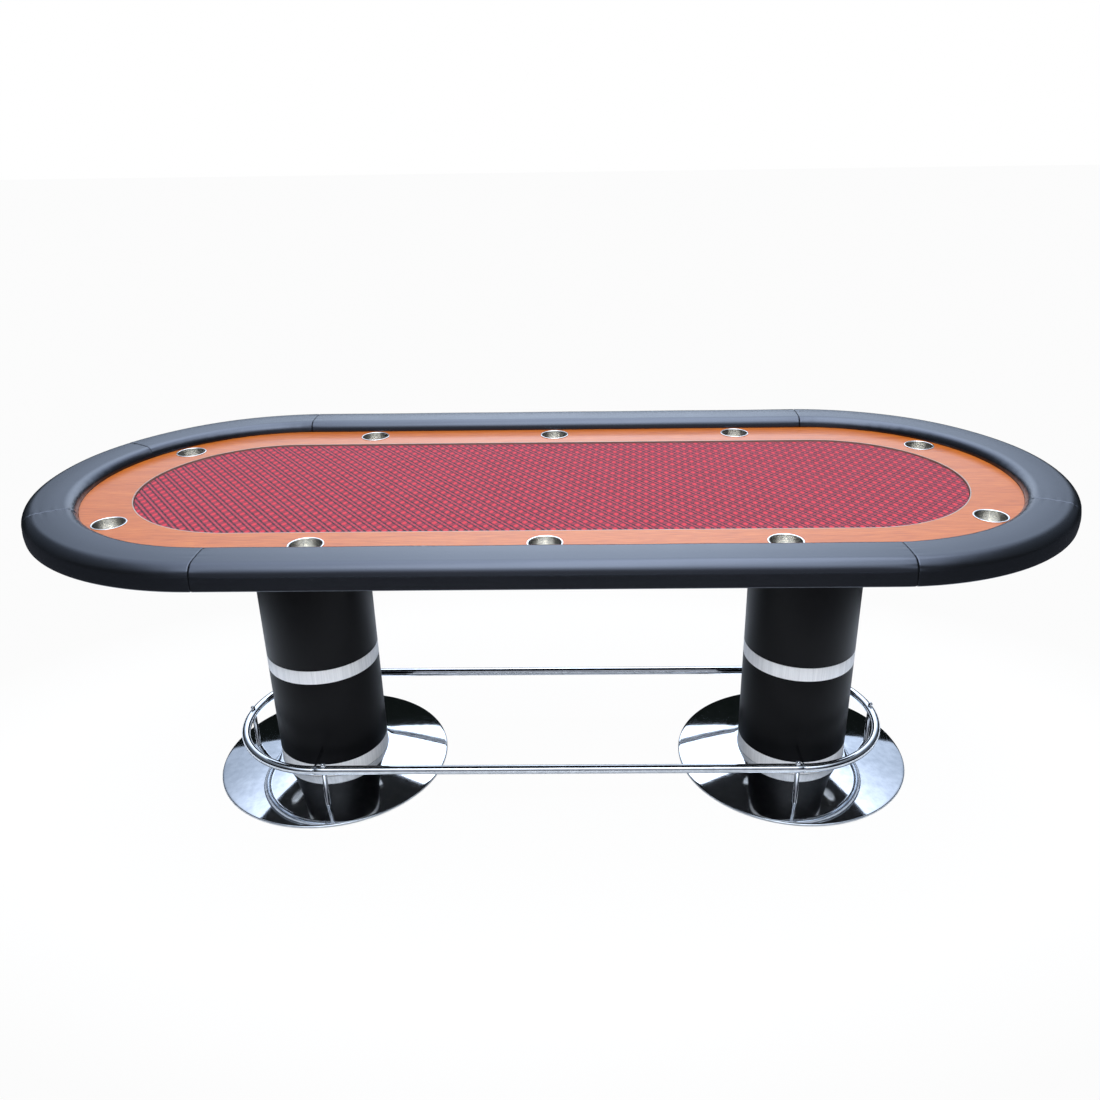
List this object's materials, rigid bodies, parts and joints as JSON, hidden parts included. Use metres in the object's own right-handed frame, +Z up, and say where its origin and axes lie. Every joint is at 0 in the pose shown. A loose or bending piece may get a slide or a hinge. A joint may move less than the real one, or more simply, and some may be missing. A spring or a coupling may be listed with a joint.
{
  "type": "poker table",
  "caption": "Oval padded-rail card table with veneered racetrack, drop-in cup holders and lift-out cloth surface on two round drum pedestals joined by a foot rail.",
  "frame": {"origin": "on the floor under the middle of the table", "axes": "+X along the table's length, +Y across it, +Z up"},
  "size_m": [2.3999, 1.05, 0.812],
  "materials": {
    "deck_plywood": "black stained plywood",
    "racetrack_veneer": "satin lacquered veneer",
    "lipping": "satin lacquered pale wood",
    "zinc_steel": "zinc plated",
    "plywood": "raw plywood",
    "foam": "open cell foam",
    "cloth": "woven playing cloth",
    "cup_steel": "brushed stainless steel",
    "rail_vinyl": "satin black upholstery vinyl",
    "plate_black": "black powder coat",
    "drum_laminate": "black satin laminate",
    "band_aluminium": "vertically brushed",
    "disc_steel": "mirror polished stainless steel",
    "weight_steel": "grey painted steel plate",
    "floor_rubber": "matte black rubber",
    "tube_chrome": "polished chrome"
  },
  "bodies": {
    "table": {"deck": "deck_plywood", "racetrack": "racetrack_veneer", "racetrack_lipping": "lipping", "racetrack_screws": "zinc_steel", "rail_core": "plywood", "rail_foam": "foam", "rail_bolts": "zinc_steel", "rail_cover_front": "rail_vinyl", "rail_cover_back": "rail_vinyl", "rail_cover_right_front": "rail_vinyl", "rail_cover_right_back": "rail_vinyl", "rail_cover_left_front": "rail_vinyl", "rail_cover_left_end": "rail_vinyl", "rail_cover_left_back": "rail_vinyl", "left_top_plate": "plate_black", "left_upper_drum": "drum_laminate", "left_middle_band": "band_aluminium", "left_lower_drum": "drum_laminate", "left_bottom_band": "band_aluminium", "left_drum_formers": "plywood", "left_base_riser": "plywood", "left_base_disc": "disc_steel", "left_base_weight": "weight_steel", "left_floor_ring": "floor_rubber", "left_tie_rod": "zinc_steel", "right_top_plate": "plate_black", "right_upper_drum": "drum_laminate", "right_middle_band": "band_aluminium", "right_lower_drum": "drum_laminate", "right_bottom_band": "band_aluminium", "right_drum_formers": "plywood", "right_base_riser": "plywood", "right_base_disc": "disc_steel", "right_base_weight": "weight_steel", "right_floor_ring": "floor_rubber", "right_tie_rod": "zinc_steel", "tie_rod_nuts": "zinc_steel", "top_plate_screws": "zinc_steel", "foot_rail_front": "tube_chrome", "foot_rail_back": "tube_chrome", "foot_rail_left_bend": "tube_chrome", "foot_rail_right_bend": "tube_chrome", "foot_rail_spigots": "zinc_steel", "foot_rail_posts": "tube_chrome", "foot_rail_rods": "zinc_steel", "foot_rail_cap_nuts": "tube_chrome"},
    "playing_surface": {"playing_board": "plywood", "playing_foam": "foam", "playing_cloth": "cloth"},
    "cup_1_body": {"cup_1": "cup_steel"},
    "cup_2_body": {"cup_2": "cup_steel"},
    "cup_3_body": {"cup_3": "cup_steel"},
    "cup_4_body": {"cup_4": "cup_steel"},
    "cup_5_body": {"cup_5": "cup_steel"},
    "cup_6_body": {"cup_6": "cup_steel"},
    "cup_7_body": {"cup_7": "cup_steel"},
    "cup_8_body": {"cup_8": "cup_steel"},
    "cup_9_body": {"cup_9": "cup_steel"},
    "cup_10_body": {"cup_10": "cup_steel"}
  },
  "joints": [
    {"name": "playing_surface_lift", "type": "slide", "parent": "table", "child": "playing_surface", "axis": [0, 0, 1], "range_m": [0, 0.12]},
    {"name": "cup_1_lift", "type": "slide", "parent": "table", "child": "cup_1_body", "axis": [0, 0, 1], "range_m": [0, 0.09]},
    {"name": "cup_2_lift", "type": "slide", "parent": "table", "child": "cup_2_body", "axis": [0, 0, 1], "range_m": [0, 0.09]},
    {"name": "cup_3_lift", "type": "slide", "parent": "table", "child": "cup_3_body", "axis": [0, 0, 1], "range_m": [0, 0.09]},
    {"name": "cup_4_lift", "type": "slide", "parent": "table", "child": "cup_4_body", "axis": [0, 0, 1], "range_m": [0, 0.09]},
    {"name": "cup_5_lift", "type": "slide", "parent": "table", "child": "cup_5_body", "axis": [0, 0, 1], "range_m": [0, 0.09]},
    {"name": "cup_6_lift", "type": "slide", "parent": "table", "child": "cup_6_body", "axis": [0, 0, 1], "range_m": [0, 0.09]},
    {"name": "cup_7_lift", "type": "slide", "parent": "table", "child": "cup_7_body", "axis": [0, 0, 1], "range_m": [0, 0.09]},
    {"name": "cup_8_lift", "type": "slide", "parent": "table", "child": "cup_8_body", "axis": [0, 0, 1], "range_m": [0, 0.09]},
    {"name": "cup_9_lift", "type": "slide", "parent": "table", "child": "cup_9_body", "axis": [0, 0, 1], "range_m": [0, 0.09]},
    {"name": "cup_10_lift", "type": "slide", "parent": "table", "child": "cup_10_body", "axis": [0, 0, 1], "range_m": [0, 0.09]}
  ]
}
